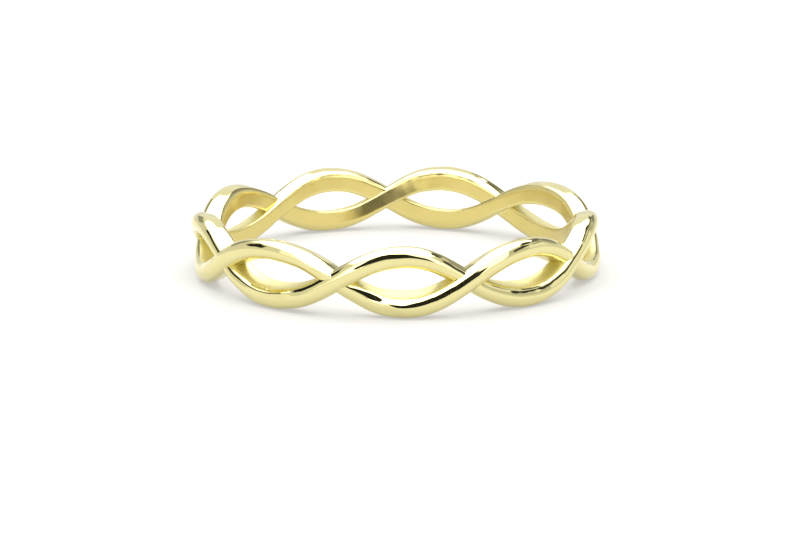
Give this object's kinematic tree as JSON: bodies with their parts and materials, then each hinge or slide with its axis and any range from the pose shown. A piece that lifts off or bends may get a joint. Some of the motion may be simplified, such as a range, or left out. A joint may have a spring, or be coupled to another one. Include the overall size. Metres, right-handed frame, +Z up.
{
  "type": "stacking ring",
  "caption": "Openwork gold finger ring: rounded strands twist over and under each other round the band and leave lens-shaped eyes between their crossings.",
  "frame": {"origin": "on the surface that the ring lies on, under the middle of the finger hole", "axes": "+Z up along the finger hole, -Y towards the front eye, +X to the right seen from the front"},
  "size_m": [0.0192, 0.0191, 0.0032],
  "materials": {
    "gold": "high polish"
  },
  "bodies": {
    "root": {"twist_band": "gold"}
  },
  "joints": []
}
